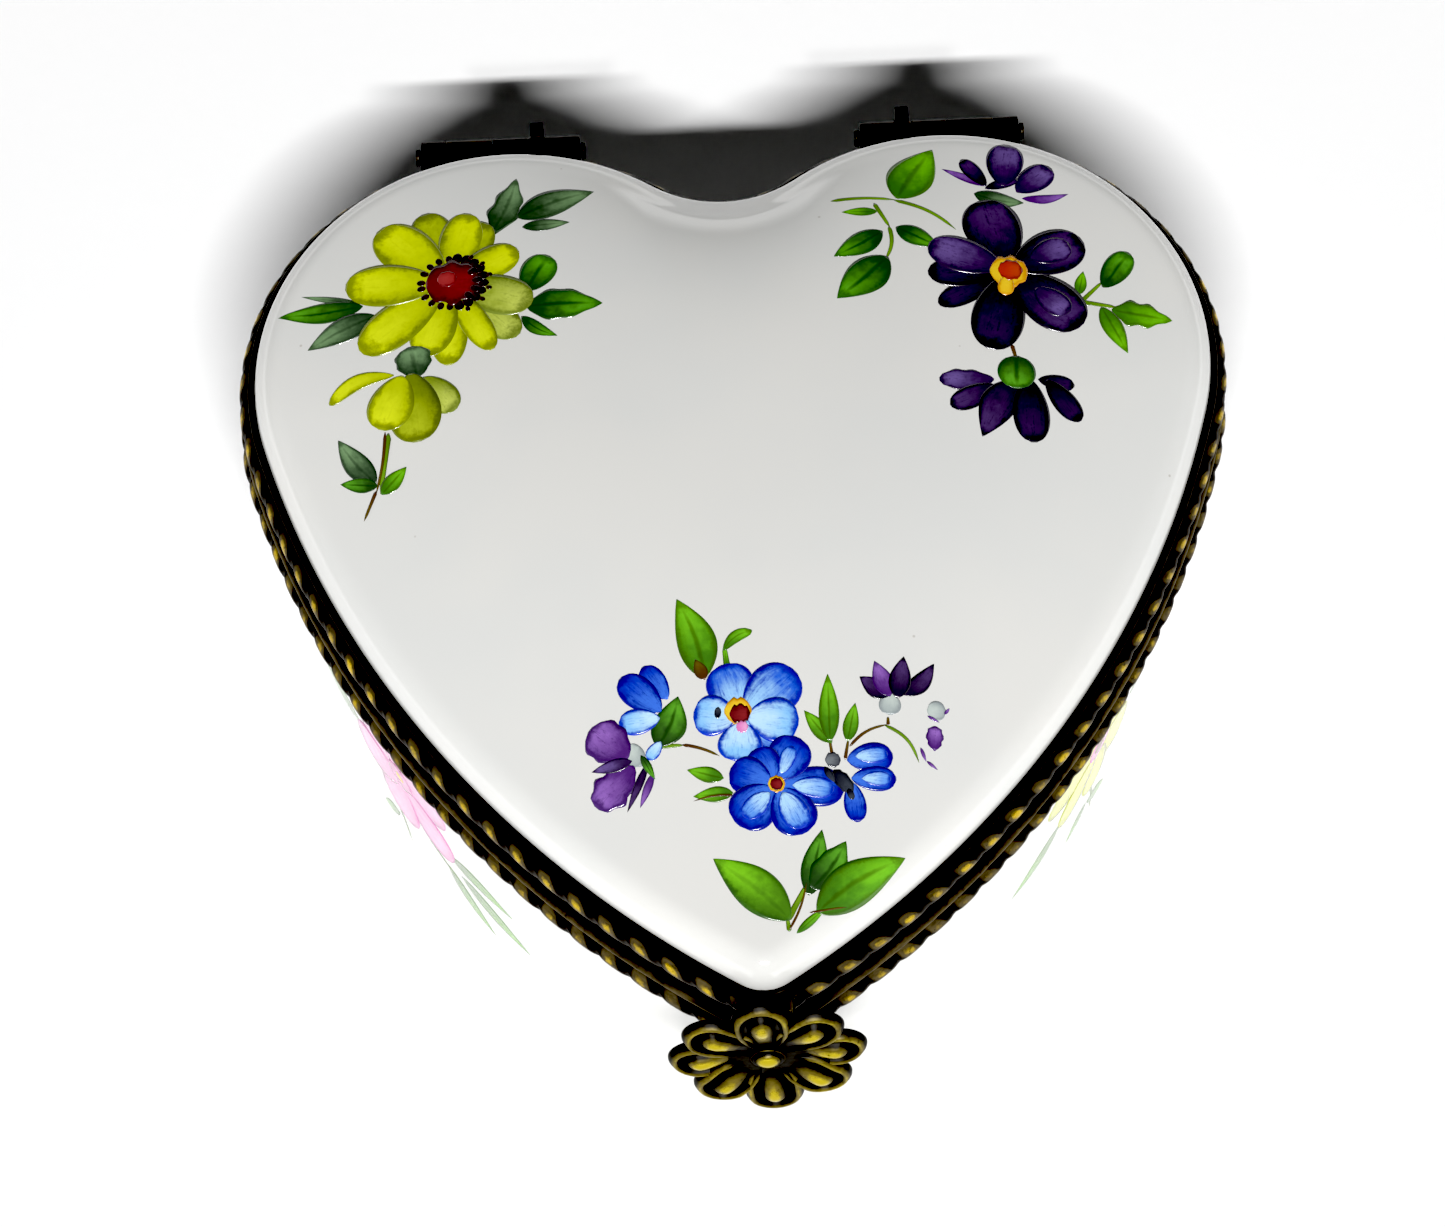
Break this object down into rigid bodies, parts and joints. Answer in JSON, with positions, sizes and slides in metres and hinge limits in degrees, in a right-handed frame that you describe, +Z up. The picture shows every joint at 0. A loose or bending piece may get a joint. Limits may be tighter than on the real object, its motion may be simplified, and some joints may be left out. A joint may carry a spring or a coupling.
{
  "type": "trinket box",
  "caption": "Heart-shaped porcelain trinket box with brass bezels, a domed lid on rear knuckle hinges, a sprung flower clasp at the tip and painted flower sprays.",
  "frame": {"origin": "under the middle of the box, on the plane that the foot ring rests on", "axes": "+X to the right across the lobes, +Y to the back towards the hinges with the heart's tip and clasp at -Y, +Z up"},
  "size_m": [0.0598, 0.0634, 0.0301],
  "materials": {
    "porcelain": "clear glossy glaze over white porcelain",
    "enamel": "fired overglaze enamel paint",
    "plaster": "matt bedding plaster",
    "antique_brass": "antiqued brass, near black in the recesses and worn on the raised parts",
    "cast_brass": "cast brass with a dark patina rubbed back on the raised parts",
    "hinge_brass": "drawn brass with a light patina"
  },
  "bodies": {
    "base": {"base_shell": "porcelain", "base_cement": "plaster", "base_bezel": "antique_brass", "base_rope": "antique_brass", "hinge_base_leaf_left": "hinge_brass", "hinge_base_leaf_right": "hinge_brass", "hinge_pin_left": "hinge_brass", "hinge_pin_right": "hinge_brass", "stop_lug_left": "hinge_brass", "stop_lug_right": "hinge_brass", "catch_stud": "hinge_brass"},
    "lid": {"lid_shell": "porcelain", "lid_cement": "plaster", "lid_bezel": "antique_brass", "lid_rope": "antique_brass", "hinge_lid_leaf_left": "hinge_brass", "hinge_lid_leaf_right": "hinge_brass", "clasp_bracket": "antique_brass"},
    "clasp": {"clasp_tongue": "hinge_brass", "clasp_flower": "cast_brass", "clasp_centre": "cast_brass", "clasp_rivet": "hinge_brass"}
  },
  "joints": [
    {"name": "lid_hinge", "type": "hinge", "parent": "base", "child": "lid", "pos_m": [0, 0.03038, 0.02216], "axis": [-1, 0, 0], "range_deg": [0, 100]},
    {"name": "clasp_flex", "type": "hinge", "parent": "lid", "child": "clasp", "pos_m": [0, -0.02969, 0.02462], "axis": [-1, 0, 0], "range_deg": [0, 5], "stiffness_Nm_per_rad": 0.01}
  ]
}
